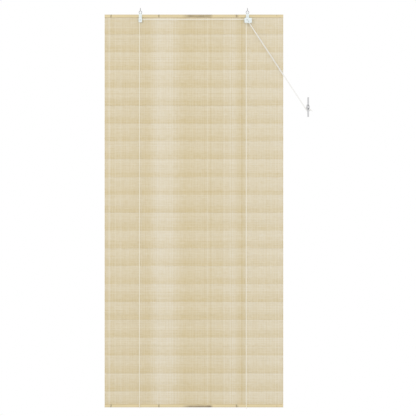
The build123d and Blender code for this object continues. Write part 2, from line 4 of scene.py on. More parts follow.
import bmesh
import bpy
from bpy.props import FloatProperty, FloatVectorProperty, IntProperty, PointerProperty
from mathutils import Matrix, Vector


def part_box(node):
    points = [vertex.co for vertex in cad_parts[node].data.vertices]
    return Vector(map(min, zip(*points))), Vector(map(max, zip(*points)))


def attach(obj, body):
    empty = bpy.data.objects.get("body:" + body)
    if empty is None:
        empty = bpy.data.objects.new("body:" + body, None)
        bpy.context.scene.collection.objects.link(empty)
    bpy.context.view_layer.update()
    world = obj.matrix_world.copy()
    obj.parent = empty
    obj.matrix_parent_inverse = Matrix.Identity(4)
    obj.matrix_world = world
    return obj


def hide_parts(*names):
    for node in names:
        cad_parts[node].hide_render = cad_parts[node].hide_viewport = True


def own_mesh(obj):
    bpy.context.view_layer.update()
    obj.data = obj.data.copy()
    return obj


bl_info = {
    "name": "Bamboo Roll Up Blind",
    "version": (1, 0, 0),
    "blender": (4, 5, 0),
    "location": "View3D > Sidebar > Blind",
    "description": "Dresses a reed roll up blind, its cords, cord lock and cleat",
    "category": "Object",
}

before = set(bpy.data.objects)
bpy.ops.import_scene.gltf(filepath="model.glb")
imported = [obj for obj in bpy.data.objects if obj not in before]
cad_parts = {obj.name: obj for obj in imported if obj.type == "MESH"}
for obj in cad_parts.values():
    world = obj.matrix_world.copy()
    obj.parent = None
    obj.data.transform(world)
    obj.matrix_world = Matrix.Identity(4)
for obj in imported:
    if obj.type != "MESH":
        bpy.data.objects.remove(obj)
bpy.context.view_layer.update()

MAT_LOW, MAT_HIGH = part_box("reed_mat")
RAIL_LOW, RAIL_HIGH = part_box("head_front_slat")
BATTEN_LOW, BATTEN_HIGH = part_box("bottom_front_slat")
DOWN = Vector((0, 0, -1))
SHARP = math.radians(70)  # Edges that turn more than this stay crisp
KNOT_STEPS = 42
THREAD_STEPS = 16
REED_SEED = 8
THREAD_SEED = 5
SIDES = ("left", "right")


# Sizes and colours that a user may change


def metres(name, description, default):
    """A setting that is a length."""
    return FloatProperty(name=name, description=description, default=default, unit="LENGTH", precision=5)


def count(name, description, default, least):
    """A setting that is a whole number."""
    return IntProperty(name=name, description=description, default=default, min=least)


def tint(name, description, default):
    """A setting that is a colour."""
    return FloatVectorProperty(name=name, description=description, default=default, subtype="COLOR")


class MatSettings(bpy.types.PropertyGroup):
    """The woven reeds and their threads."""

    reed_pitch: metres("Reed Pitch", "Height from one reed to the next", 0.0023)
    reed_thickness: metres("Reed Thickness", "Depth of a reed, front to back", 0.0019)
    reed_gap: metres("Reed Gap", "Average open gap between two reeds", 0.00008)
    reed_wander: metres("Reed Wander", "How far a reed strays from a straight line", 0.00012)
    trim: metres("Uneven Trim", "How unevenly the reeds' ends are cut", 0.0006)
    band: metres("Band Height", "Height of one woven band", 0.1)
    first_band: metres("First Band", "Distance from the top edge to the first band's edge", 0.11)
    thread_lines: count("Thread Lines", "Lines of thread across the mat", 60, 2)
    thread_width: metres("Thread Width", "Width of one thread line", 0.0012)
    thread_lean: metres("Thread Lean", "How far a thread steps aside at each crossing", 0.0007)
    pale: tint("Pale Reed", "Colour of the palest reeds", (0.795, 0.735, 0.605))
    dark: tint("Dark Reed", "Colour of the darkest reeds", (0.668, 0.558, 0.332))
    thread: tint("Thread", "Colour of the palest threads", (0.87, 0.82, 0.7))


class SlatSettings(bpy.types.PropertyGroup):
    """The glossy bamboo slats along the top and bottom edges."""

    rounding: metres("Rounding", "Radius of the outer edges", 0.0018)
    crown: metres("Crown", "How far the outer face bulges", 0.0006)
    node_swell: metres("Node Swell", "Height of the ring at a bamboo node", 0.0005)
    node_width: metres("Node Width", "Half the width of the ring at a bamboo node", 0.0028)
    skin: tint("Skin", "Colour of the bamboo", (0.72, 0.6, 0.35))
    stain: tint("Stain", "Colour of the long dark stain and the node rings", (0.22, 0.16, 0.09))


class CordSettings(bpy.types.PropertyGroup):
    """The braided cords."""

    diameter: metres("Cord Diameter", "Diameter of every cord", 0.003)
    cotton: tint("Cotton", "Colour of the lift cords", (0.9, 0.87, 0.76))
    # Painted light: the cords over the wheels get a paler cotton than the lift cords, though they are the same
    # cord, to lift them out of the head slat's shade.
    top_cotton_painted_light: tint("Top Cord Cotton", "Colour of the cord across the top", (0.97, 0.96, 0.88))
    pull_cotton: tint("Pull Cord Cotton", "Colour of the two pull cords", (0.885, 0.877, 0.85))


class HardwareSettings(bpy.types.PropertyGroup):
    """The pulley, the lock, the screw eyes and the cleat."""

    plastic: tint("White Plastic", "Colour of the pulley and the lock", (0.78, 0.84, 0.84))
    nylon: tint("Nylon", "Colour of the wheels and the cam", (0.72, 0.73, 0.71))
    cleat_grey: tint("Cleat Grey", "Colour of the cleat's horns", (0.57, 0.57, 0.58))
    # Painted light: the foot's paler colour stands for light on the foot, though the cleat is one grey plastic.
    cleat_foot_painted_light: tint("Cleat Foot", "Colour of the cleat's foot", (0.76, 0.76, 0.76))
    zinc: tint("Zinc", "Colour of the screw eyes", (0.48, 0.48, 0.48))
    bronze: tint("Bronze", "Colour of the nails through the slats", (0.3, 0.2, 0.12))
    steel: tint("Steel", "Colour of the wheels' axles", (0.42, 0.46, 0.52))
    nickel: tint("Nickel", "Colour of the cam's pin", (0.8, 0.84, 0.86))
    # Painted shade: the lower screw's colour is darkened to stand for shade.
    screw_painted_shade: tint("Dark Screw", "Colour of the cleat's lower screw", (0.07, 0.07, 0.075))
    screw_worn: tint("Worn Screw", "Colour where the cleat's screws are worn", (0.26, 0.26, 0.27))
    thread_pitch: metres("Screw Thread Pitch", "Rise of a screw eye's thread in one turn", 0.0015)


class StageSettings(bpy.types.PropertyGroup):
    """The camera, the lamps and the floor."""

    distance: metres("Camera Distance", "From the camera to the blind", 8.0)
    view_width: metres("View Width", "Width that the picture covers at the blind", 2.3305)
    aim_x: metres("Aim X", "Where the camera looks, sideways", 0.0787)
    aim_z: metres("Aim Z", "Where the camera looks, in height", -1.1073)
    floor_z: metres("Floor Height", "Height of the floor", -3.0)
    floor_radius: metres("Floor Radius", "Radius of the floor", 2.1)
    floor_colour: tint("Floor Colour", "Colour of the floor", (0.86, 0.86, 0.86))
    key_power: FloatProperty(name="Key Lamp", description="Power of the large lamp at the left", default=50.0)
    fill_power: FloatProperty(name="Fill Lamp", description="Power of the lamp at the right", default=20.0)
    key_place: FloatVectorProperty(
        name="Key Lamp Place", description="Middle of the key lamp", default=(-4.8, -5.6, 1.4), subtype="XYZ"
    )
    fill_place: FloatVectorProperty(
        name="Fill Lamp Place", description="Middle of the fill lamp", default=(4.4, -6.0, 0.2), subtype="XYZ"
    )
    lamp_size: metres("Lamp Size", "Width of each lamp", 2.6)
    lamp_aim_z: metres("Lamp Aim", "Height that both lamps point at", -1.0)
    sky: FloatProperty(name="Sky", description="Strength of the even light from all round", default=0.97)


class BlindSettings(bpy.types.PropertyGroup):
    """All the settings of the blind."""

    mat: PointerProperty(type=MatSettings, name="Mat", description="Reeds and threads")
    slats: PointerProperty(type=SlatSettings, name="Slats", description="Top and bottom slats")
    cords: PointerProperty(type=CordSettings, name="Cords", description="Lift and pull cords")
    hardware: PointerProperty(
        type=HardwareSettings, name="Hardware", description="Pulley, lock, eyes and cleat"
    )
    stage: PointerProperty(type=StageSettings, name="Stage", description="Camera, lamps and floor")


# Finishes


class Finish:
    """One material, built node by node round a Principled shader."""

    def __init__(self, name, **sockets):
        self.material = bpy.data.materials.new(name)
        self.material.use_nodes = True
        self.tree = self.material.node_tree
        self.tree.nodes.clear()
        self.shader = self.tree.nodes.new("ShaderNodeBsdfPrincipled")
        for socket, value in sockets.items():
            self.shader.inputs[socket.replace("_", " ")].default_value = value
        output = self.tree.nodes.new("ShaderNodeOutputMaterial")
        self.tree.links.new(self.shader.outputs["BSDF"], output.inputs["Surface"])

    def put(self, node, name, value):
        """Sets one input of a node to a number or colour, or links it to another node's output."""
        if isinstance(value, bpy.types.NodeSocket):
            self.tree.links.new(value, node.inputs[name])
        else:
            node.inputs[name].default_value = value

    def node(self, kind, **values):
        """A new node with some of its inputs put."""
        node = self.tree.nodes.new(f"ShaderNode{kind}")
        for name, value in values.items():
            self.put(node, name, value)
        return node

    def place(self):
        """Where a point is on its object."""
        return self.node("TexCoord").outputs["Object"]

    def axes(self, vector):
        """The X, Y and Z of a vector."""
        return self.node("SeparateXYZ", Vector=vector).outputs[:]

    def attribute(self, name):
        node = self.node("Attribute")
        node.attribute_name = name
        return node.outputs["Fac"]

    def uv(self):
        node = self.node("UVMap")
        node.uv_map = "UVMap"
        return node.outputs["UV"]

    def math(self, operation, *values, clamp=False):
        node = self.node("Math")
        node.operation = operation
        node.use_clamp = clamp
        for i, value in enumerate(values):
            self.put(node, i, value)
        return node.outputs[0]

    def noise(self, scale, detail):
        """Cloudy noise over the object, as fine along each axis as its scale."""
        scaled = self.node("Mapping", Vector=self.place(), Scale=scale).outputs["Vector"]
        return self.node("TexNoise", Vector=scaled, Scale=1, Detail=detail, Roughness=0.55).outputs["Fac"]

    def ramp(self, factor, *stops):
        """A grey curve through (place, value) stops."""
        node = self.node("ValToRGB", Fac=factor)
        elements = node.color_ramp.elements
        for place, _ in stops[1:-1]:
            elements.new(place)
        elements[0].position, elements[-1].position = stops[0][0], stops[-1][0]
        for element, (_, value) in zip(elements, stops):
            element.color = (value, value, value, 1)
        return node.outputs["Color"]

    def mix(self, factor, first, second):
        node = self.node("Mix")
        node.data_type = "RGBA"
        self.put(node, "Factor", factor)
        for name, value in (("A", first), ("B", second)):
            socket = next(s for s in node.inputs if s.name == name and s.type == "RGBA")
            if isinstance(value, bpy.types.NodeSocket):
                self.tree.links.new(value, socket)
            else:
                socket.default_value = (*value, 1)
        return next(s for s in node.outputs if s.type == "RGBA")

    def share(self, value, low, high):
        """How far a value has come from low to high, as a share."""
        return self.math("DIVIDE", self.math("SUBTRACT", value, low), high - low)

    def bump(self, height, distance):
        """Raises the surface by the height times the distance."""
        node = self.node("Bump", Strength=1, Distance=distance, Height=height)
        self.tree.links.new(node.outputs["Normal"], self.shader.inputs["Normal"])

    def colour(self, value):
        self.put(self.shader, "Base Color", value)

    def roughness(self, value):
        self.put(self.shader, "Roughness", value)


def shades(colour, dark, pale):
    """A darker and a paler shade of a colour."""
    return [c * dark for c in colour], [min(1, c * pale) for c in colour]


def reed_finish(mat):
    """Peeled reed. Each reed has its own tone and streaks, every band darkens towards its foot, and broad zones
    and fine lines run down the mat."""
    finish = Finish("peeled reed", Specular_IOR_Level=0.2)
    x, _, z = finish.axes(finish.place())
    below = finish.math("SUBTRACT", MAT_HIGH.z - mat.first_band, z)
    band = finish.math("FRACT", finish.math("DIVIDE", below, mat.band))
    fall = finish.ramp(band, (0.0, 1.0), (0.5, 0.7), (0.8, 0.1), (1.0, 0.0))
    zones = finish.ramp(
        finish.share(x, MAT_LOW.x, MAT_HIGH.x), (0.0, 0.35), (0.018, 0.25), (0.028, 0.75), (0.038, 0.0),
        (0.06, 0.45), (0.1, 0.3), (0.25, 0.25), (0.29, 0.9), (0.38, 0.85), (0.42, 0.3), (0.47, 0.15),
        (0.66, 0.4), (0.72, 0.8), (0.77, 0.0), (0.8, 0.62), (1.0, 0.62),
    )
    lines = finish.noise((110, 0, 0), 2)
    rows = finish.noise((3, 0, 150), 2)
    streaks = finish.noise((25, 0, 220), 2)
    patches = finish.noise((220, 0, 20), 2)
    fibre = finish.noise((9, 300, 900), 2)
    # Each part's weight in the tone, and its average, which is taken out again
    parts = (
        (fall, 0.4, 0.58), (zones, 0.54, 0.46), (finish.attribute("tone"), 0.36, 0.5), (lines, 1.1, 0.5),
        (rows, 0.42, 0.5), (streaks, 0.75, 0.5), (patches, 0.6, 0.5), (fibre, 0.2, 0.5),
    )
    light = 0.5 - sum(weight * average for _, weight, average in parts)
    for part, weight, _ in parts:
        light = finish.math("MULTIPLY_ADD", part, weight, light)
    finish.colour(finish.mix(light, mat.dark, mat.pale))
    finish.roughness(finish.math("MULTIPLY_ADD", fibre, 0.2, 0.5))
    finish.bump(fibre, 0.00012)
    return finish.material


def thread_finish(mat):
    """Spun cotton thread with a fine twist."""
    finish = Finish("cotton thread", Roughness=0.9, Specular_IOR_Level=0.1)
    twist = finish.noise((1500, 1500, 400), 1)
    own = finish.math("MULTIPLY_ADD", twist, 0.2, finish.attribute("tone"))
    finish.colour(finish.mix(own, mat.dark, mat.thread))
    finish.bump(twist, 0.0001)
    return finish.material


def slat_finish(slats):
    """Lacquered bamboo with long fibres and dark node rings, and painted shade that darkens it towards the
    blind's outer edge. One long stain lies in the middle of the top slat, and nearer to the outer edge on the
    bottom slat."""
    finish = Finish("lacquered bamboo", Coat_Weight=0.5, Coat_Roughness=0.15, Specular_IOR_Level=0.4)
    x, _, z = finish.axes(finish.place())
    top = finish.math("GREATER_THAN", z, (RAIL_LOW.z + BATTEN_HIGH.z) / 2)
    fibre = finish.noise((4, 500, 1100), 3)
    drift = finish.noise((7, 30, 90), 2)
    outward = finish.attribute("outward")
    drift = finish.math("MULTIPLY_ADD", drift, 0.6, 0.7)
    # Painted shade: the tone darkens towards the slat's outer edge, where its rounded face turns away from the
    # light.
    tone = finish.math("SUBTRACT", drift, finish.math("MULTIPLY", outward, 0.7))
    skin = finish.mix(tone, *shades(slats.skin, 0.84, 1.12))
    skin = finish.mix(finish.ramp(fibre, (0.3, 0.0), (0.75, 0.4)), skin, [c * 0.75 for c in slats.skin])
    stain = finish.ramp(
        finish.math("ADD", x, 0.5), (0.43, 0.0), (0.475, 0.75), (0.5, 0.7), (0.53, 0.85), (0.56, 0.7),
        (0.59, 1.0), (0.608, 0.0), (0.73, 0.0), (0.742, 0.45), (0.754, 0.0),
    )
    streak = finish.noise((14, 60, 120), 3)
    stain = finish.math("MULTIPLY", stain, finish.ramp(streak, (0.3, 0.45), (0.55, 1.0)))
    top_band = finish.ramp(outward, (0.0, 0.3), (0.2, 1.0), (0.5, 1.0), (0.7, 0.75), (1.0, 0.6))
    bottom_band = finish.ramp(outward, (0.1, 0.15), (0.55, 1.0))
    across = finish.math("MULTIPLY_ADD", top, finish.math("SUBTRACT", top_band, bottom_band), bottom_band)
    stain = finish.math("MULTIPLY", stain, across)
    marked = finish.math("MAXIMUM", stain, finish.attribute("node_ring"), clamp=True)
    finish.colour(finish.mix(marked, skin, slats.stain))
    finish.roughness(finish.math("MULTIPLY_ADD", fibre, 0.2, 0.28))
    finish.bump(fibre, 0.00008)
    return finish.material


def braid_finish(name, colour):
    """Braided cotton: strands cross over and under one another round the cord."""
    finish = Finish(name, Roughness=0.85, Specular_IOR_Level=0.15, Sheen_Weight=0.3, Sheen_Roughness=0.5)
    around, along, _ = finish.axes(finish.uv())
    turn = finish.math("MULTIPLY", around, 8 * math.pi)
    step = finish.math("MULTIPLY", along, 1.6 * math.pi)
    one = finish.math("SINE", finish.math("ADD", turn, step))
    other = finish.math("SINE", finish.math("SUBTRACT", turn, step))
    weave = finish.math("MULTIPLY", one, other)
    fuzz = finish.noise((900, 900, 900), 2)
    height = finish.math("MULTIPLY_ADD", fuzz, 0.35, weave)
    # Painted shade: the colour darkens where the weave dips between the strands.
    shade = finish.ramp(finish.math("MULTIPLY_ADD", weave, 0.5, 0.5), (0.0, 0.0), (0.55, 1.0))
    finish.colour(finish.mix(shade, *shades(colour, 0.8, 1)))
    finish.bump(height, 0.0002)
    return finish.material


def moulded(name, roughness):
    """A slightly uneven plastic, and the cloud that its colour follows."""
    finish = Finish(name, Specular_IOR_Level=0.5)
    cloud = finish.noise((90, 90, 90), 2)
    finish.roughness(finish.math("MULTIPLY_ADD", cloud, 0.12, roughness))
    finish.bump(finish.noise((1400, 1400, 1400), 1), 0.00003)
    return finish, cloud


def plastic_finish(name, colour, roughness):
    """Moulded plastic of one colour."""
    finish, cloud = moulded(name, roughness)
    finish.colour(finish.mix(cloud, *shades(colour, 0.96, 1.03)))
    return finish.material


def cleat_finish(hardware):
    """Moulded grey plastic, with painted light that makes the foot against the wall paler than the horns."""
    finish, cloud = moulded("grey moulded plastic", 0.34)
    low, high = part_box("cleat")
    depth = finish.share(finish.axes(finish.place())[1], low.y, high.y)
    # Painted light: the foot, deep against the wall, is painted paler than the horns, though the cleat is one
    # plastic.
    foot = finish.ramp(finish.math("MULTIPLY_ADD", cloud, 0.1, depth), (0.45, 0.0), (0.7, 1.0))
    finish.colour(finish.mix(foot, hardware.cleat_grey, hardware.cleat_foot_painted_light))
    return finish.material


def screw_finish(hardware):
    """Dark plated screws, with painted shade that makes the lower one the darker."""
    finish = Finish("dark screw", Metallic=1.0)
    low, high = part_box("cleat_screws")
    height = finish.share(finish.axes(finish.place())[2], low.z, high.z)
    wear = finish.noise((400, 400, 400), 3)
    # Painted shade: the lower screw is painted darker than the upper one.
    tone = finish.math("MULTIPLY_ADD", wear, 0.2, finish.ramp(height, (0.45, 0.0), (0.55, 0.8)))
    finish.colour(finish.mix(tone, hardware.screw_painted_shade, hardware.screw_worn))
    finish.roughness(finish.math("MULTIPLY_ADD", wear, 0.2, 0.35))
    return finish.material


def metal_finish(name, colour, roughness, grain=(900, 900, 900)):
    """Plated metal with a fine drawn grain."""
    finish = Finish(name, Metallic=1.0)
    lines = finish.noise(grain, 3)
    wear = finish.noise((220, 220, 220), 3)
    finish.colour(finish.mix(wear, *shades(colour, 0.82, 1.08)))
    finish.roughness(finish.math("MULTIPLY_ADD", lines, 0.25, roughness))
    finish.bump(lines, 0.00002)
    return finish.material


# Shapes


def mesh_of(bm, name):
    """A new mesh with a bmesh's shape. The bmesh is freed."""
    mesh = bpy.data.meshes.new(name)
    bm.to_mesh(mesh)
    bm.free()
    return mesh


def in_scene(name, data):
    """A new object in the scene."""
    obj = bpy.data.objects.new(name, data)
    bpy.context.scene.collection.objects.link(obj)
    return obj


def piece(name, bm, body, material, slot, *nodes):
    """A finished bmesh as an object that rides on a body and stands for CAD nodes."""
    return settle(name, mesh_of(bm, name), body, material, slot, *nodes)


def settle(name, mesh, body, material, slot, *nodes):
    """A mesh in the scene with its finish, which rides on a body and stands for CAD nodes."""
    obj = in_scene(name, mesh)
    obj.data.materials.clear()
    obj.data.materials.append(material)
    for polygon in obj.data.polygons:
        polygon.use_smooth = True
    obj.data.set_sharp_from_angle(angle=SHARP)
    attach(obj, body)
    if nodes:
        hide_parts(*nodes)
    return obj


def baked(obj):
    """The mesh that an object's curve or modifiers come to. The object is then removed."""
    made = bpy.data.meshes.new_from_object(obj.evaluated_get(bpy.context.evaluated_depsgraph_get()))
    bpy.data.objects.remove(obj)
    return made


def repeated(bm, *arrays):
    """The mesh of a bmesh repeated by one Array modifier for each (count, step)."""
    mesh = mesh_of(bm, "one of many")
    obj = in_scene("one of many", mesh)
    for count, step in arrays:
        array = obj.modifiers.new("Array", "ARRAY")
        array.count = count
        array.use_relative_offset = False
        array.use_constant_offset = True
        array.constant_offset_displace = step
    made = baked(obj)
    bpy.data.meshes.remove(mesh)
    return made


def crossways(direction):
    """A matrix whose Z axis points along a direction."""
    return direction.to_track_quat("Z", "Y").to_matrix().to_4x4()


def edges_among(ring):
    """The edges from corner to corner of a ring."""
    return list({e for v in ring for e in v.link_edges if all(w in ring for w in e.verts)})


def sweep(bm, path, radius, sides=12, closed=False):
    """A round bar along a path, with a UV map that runs round it and along it in diameters. A ring of edges is
    extruded from point to point, turning no more than the path does."""
    points = [Vector(p) for p in path]
    uv = bm.loops.layers.uv.verify()
    frames, travelled = [], [0.0]
    last = len(points) - 1
    for i, point in enumerate(points):
        before = points[i - 1] if i or closed else point
        after = points[(i + 1) % len(points)] if i < last or closed else point
        direction = (after - before).normalized()
        if frames:
            turn = frames[-1].col[2].to_3d().rotation_difference(direction).to_matrix()
            frames.append(Matrix.Translation(point) @ (turn @ frames[-1].to_3x3()).to_4x4())
            travelled.append(travelled[-1] + (point - points[i - 1]).length)
        else:
            frames.append(Matrix.Translation(point) @ crossways(direction))
    ring = bmesh.ops.create_circle(bm, segments=sides, radius=radius, matrix=frames[0])["verts"]
    first = ring
    where = {v: (frames[0].inverted() @ v.co, travelled[0]) for v in ring}
    edges = edges_among(ring)
    faces = []
    for i in range(1, len(points)):
        made = bmesh.ops.extrude_edge_only(bm, edges=edges)["geom"]
        ring = [g for g in made if isinstance(g, bmesh.types.BMVert)]
        edges = [g for g in made if isinstance(g, bmesh.types.BMEdge) and all(v in ring for v in g.verts)]
        faces += [g for g in made if isinstance(g, bmesh.types.BMFace)]
        bmesh.ops.transform(bm, matrix=frames[i] @ frames[i - 1].inverted(), verts=ring)
        for v in ring:
            where[v] = (frames[i].inverted() @ v.co, travelled[i])
    if closed:
        joined = bmesh.ops.bridge_loops(bm, edges=edges + edges_among(first))
        for face in joined["faces"]:
            for loop in face.loops:
                loop[uv].uv = (0.0, 0.0)
    else:
        for end in (edges, edges_among(first)):
            bmesh.ops.holes_fill(bm, edges=end, sides=sides)
    for face in faces:
        turns = [math.atan2(where[loop.vert][0].y, where[loop.vert][0].x) / math.tau for loop in face.loops]
        wraps = max(turns) - min(turns) > 0.5
        for loop, turn in zip(face.loops, turns):
            loop[uv].uv = (turn + 1 if wraps and turn < 0 else turn, where[loop.vert][1] / (2 * radius))
    bmesh.ops.recalc_face_normals(bm, faces=bm.faces)
    return bm


def arc(centre, start, axis, angle, steps):
    """Points round an arc, from a start point about an axis through a centre."""
    centre, start = Vector(centre), Vector(start)
    return [
        centre + Matrix.Rotation(math.radians(angle) * i / steps, 3, Vector(axis)) @ (start - centre)
        for i in range(steps + 1)
    ]


def middle(node):
    """The middle of a CAD node's box."""
    low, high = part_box(node)
    return (low + high) / 2


def smooth_line(points):
    """The points of one smooth open spline with these control points."""
    curve = bpy.data.curves.new("route", "CURVE")
    curve.dimensions = "3D"
    spline = curve.splines.new("NURBS")
    spline.points.add(len(points) - 1)
    for control, point in zip(spline.points, points):
        control.co = (*point, 1)
    spline.order_u = 3
    spline.use_endpoint_u = True
    spline.resolution_u = 12
    mesh = baked(in_scene("route", curve))
    line = [v.co.copy() for v in mesh.vertices]
    bpy.data.meshes.remove(mesh)
    return line


def trefoil(reach, swing, tall):
    """A closed overhand loop about the origin, its reach swinging in and out."""
    loop = []
    for i in range(KNOT_STEPS):
        t = math.tau * i / KNOT_STEPS
        out = reach + swing * math.cos(3 * t)
        loop.append(Vector((out * math.cos(2 * t), out * math.sin(2 * t), tall * math.sin(3 * t))))
    return loop


# Cords


def lift_cord_finish():
    return braid_finish("lift cord cotton", bpy.context.scene.blind.cords.cotton)


class BLIND_OT_lift_cords(bpy.types.Operator):
    """Make the long cords in front of and behind the mat, and their turns under the bottom slat"""

    bl_idname = "blind.lift_cords"
    bl_label = "Make Lift Cords"

    def execute(self, context):
        radius = context.scene.blind.cords.diameter / 2
        cotton = lift_cord_finish()
        for side in SIDES:
            for face in ("front", "back"):
                node = f"lift_cord_{side}_{face}"
                low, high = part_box(node)
                x, y = middle(node).xy
                bm = sweep(bmesh.new(), [(x, y, high.z), (x, y, low.z)], radius)
                cord = piece(f"{node}_run", bm, "head", cotton, "cord", node)
                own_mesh(cord)
            self.turn_under(side, radius, cotton)
        return {"FINISHED"}

    def turn_under(self, side, radius, cotton):
        """One cord's turn under the bottom slats, two quarter rounds with a short flat between them."""
        node = f"lift_cord_{side}_bight"
        low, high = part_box(node)
        x = middle(node).x
        front, back, bottom = low.y + radius, high.y - radius, low.z + radius
        bend = 0.48 * (back - front)
        path = [(x, front, high.z)]
        path += arc((x, front + bend, bottom + bend), (x, front, bottom + bend), (1, 0, 0), 90, 8)
        path += arc((x, back - bend, bottom + bend), (x, back - bend, bottom), (1, 0, 0), 90, 8)
        path.append((x, back, high.z))
        piece(f"{node}_turn", sweep(bmesh.new(), path, radius), "lift_bights", cotton, "cord", node)


class BLIND_OT_held_cords(bpy.types.Operator):
    """Make the cord across the top and the cord over the lock's front wheel"""

    bl_idname = "blind.held_cords"
    bl_label = "Make Cords Over Wheels"

    wrap_radius: metres("Wrap Radius", "From a wheel's axis to the middle of its cord", 0.0045)
    tilt: FloatProperty(
        name="Channel Tilt", description="Lean of the lock's channel", default=math.radians(22), subtype="ANGLE"
    )

    def execute(self, context):
        cords = context.scene.blind.cords
        radius = cords.diameter / 2
        # Painted light: a paler cotton than the lift cords, though it is the same cord, to lift it out of the
        # head slat's shade.
        cotton = braid_finish("top cord cotton painted light", cords.top_cotton_painted_light)
        pulley, back, front = (middle(n) for n in ("pulley_wheel", "lock_wheel_back", "lock_wheel_front"))
        over = 180 - math.degrees(self.tilt)
        up = (0, 1, 0)
        left_start = Vector((-self.wrap_radius, 0, 0))
        top = Vector((0, 0, self.wrap_radius))
        run_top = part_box("lift_cord_left_front")[1].z
        path = [(pulley.x - self.wrap_radius, pulley.y, run_top)]
        path += arc(pulley, pulley + left_start, up, 90, 8)
        path += arc(back, back + top, up, over - 90, 8)
        path += self.way_out("left", path[-1])
        piece("cross_cord_run", sweep(bmesh.new(), path, radius), "head", cotton, "cord", "cross_cord")
        path = [(front.x - self.wrap_radius, front.y, run_top)]
        path += arc(front, front + left_start, up, over, 14)
        path += self.way_out("right", path[-1])
        piece("lock_cord_run", sweep(bmesh.new(), path, radius), "head", cotton, "cord", "lock_cord_top")
        return {"FINISHED"}

    def way_out(self, side, leaving):
        """The points from a lock wheel down the channel and round the lip to where the pull cord starts."""
        lip, end = Vector(LIP[side]), Vector(PULL_ROUTE[side][0])
        inward, outward = (leaving - lip).normalized(), (end - lip).normalized()
        reach = (end - lip).length * 0.28
        first, second = lip + inward * reach, lip + outward * reach
        return [lip + inward * reach * 2, first, (first + second + lip) / 3, second, end]


# Where each cord turns at the lock's lip, and each pull cord's route from there to its end knot. The cords
# leave the lip one behind the other, and spread to run down side by side
LIP = {
    "left": (0.308616, -0.0121, -0.0715),
    "right": (0.308616, -0.017, -0.0715),
}
PULL_ROUTE = {
    "left": [
        (0.310832, -0.012006, -0.074829),
        (0.322793, -0.011584, -0.088461),
        (0.626707, 0.001379, -0.549205),
        (0.636651, 0.0018, -0.564156),
        (0.650585, 0.0018, -0.557658),
    ],
    "right": [
        (0.310811, -0.01688, -0.074842),
        (0.318683, -0.016340, -0.091204),
        (0.625457, 0.000262, -0.553739),
        (0.635312, 0.0008, -0.568752),
        (0.652106, 0.0008, -0.560921),
    ],
}


class BLIND_OT_pull_cords(bpy.types.Operator):
    """Make the two pull cords from the lock to the cleat, and the knot that ties their ends"""

    bl_idname = "blind.pull_cords"
    bl_label = "Make Pull Cords"

    length: metres("Pull Cord Length", "Length of each pull cord below the lock", 0.6)
    knot_radius: metres("Knot Radius", "Size of the end knot", 0.0032)
    tail_spread: metres("Tail Spread", "Between the middles of the knot's two tails", 0.0032)

    def execute(self, context):
        cords = context.scene.blind.cords
        radius = cords.diameter / 2
        cotton = braid_finish("pull cord cotton", cords.pull_cotton)
        knot = self.end_knot(radius, cotton)
        for side in SIDES:
            node = f"pull_cord_{side}"
            path = smooth_line(PULL_ROUTE[side])
            cord = piece(f"{node}_run", sweep(bmesh.new(), path, radius), "head", cotton, "cord", node)
        return {"FINISHED"}

    def end_knot(self, radius, cotton):
        """Both cords tied in one overhand knot, with two short tails below it."""
        low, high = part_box("cord_end_knot")
        ends = [Vector(PULL_ROUTE[side][-1]) for side in SIDES]
        start = (ends[0] + ends[1]) / 2
        along = Vector((math.cos(math.radians(25)), 0, math.sin(math.radians(25))))
        centre = start + along * 0.0028
        turn = Matrix.Translation(centre) @ crossways(along)
        bm = bmesh.new()
        size = self.knot_radius
        for shift in (-0.5, 0.5):
            loop = [turn @ p + along * shift * radius for p in trefoil(size * 0.8, size * 0.336, size * 0.62)]
            sweep(bm, loop, radius * 0.78, sides=8, closed=True)
        for y in (start.y - self.tail_spread / 2, start.y + self.tail_spread / 2):
            tail = [
                (centre.x, y, centre.z),
                (centre.x + 0.004, y, centre.z - 0.002),
                (centre.x + 0.0075, y + 0.0004, centre.z - 0.0046),
                (high.x - 0.001, y, low.z + 0.0016),
            ]
            sweep(bm, tail, radius * 0.95, sides=10)
        return piece("end_knot", bm, "head", cotton, "cord", "cord_end_knot")


class BLIND_OT_back_knots(bpy.types.Operator):
    """Make the knots that hold the cords' back ends on the straps"""

    bl_idname = "blind.back_knots"
    bl_label = "Make Back Knots"

    def execute(self, context):
        radius = context.scene.blind.cords.diameter / 2
        cotton = lift_cord_finish()
        for side in SIDES:
            node = f"cord_knot_{side}"
            low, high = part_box(node)
            centre = (low + high) / 2
            tight = radius * 0.85
            wide = (high.x - low.x) / 2 - tight
            tall = (high.z - low.z) / 2 - tight
            loop = [centre + p for p in trefoil(wide * 0.72, wide * 0.28, tall)]
            bm = sweep(bmesh.new(), loop, tight, sides=8, closed=True)
            sweep(bm, [centre + DOWN * tall, centre - DOWN * (tall + radius * 1.6)], tight, sides=10)
            piece(f"{node}_tied", bm, "head", cotton, "cord", node)
        return {"FINISHED"}


# Mat and slats


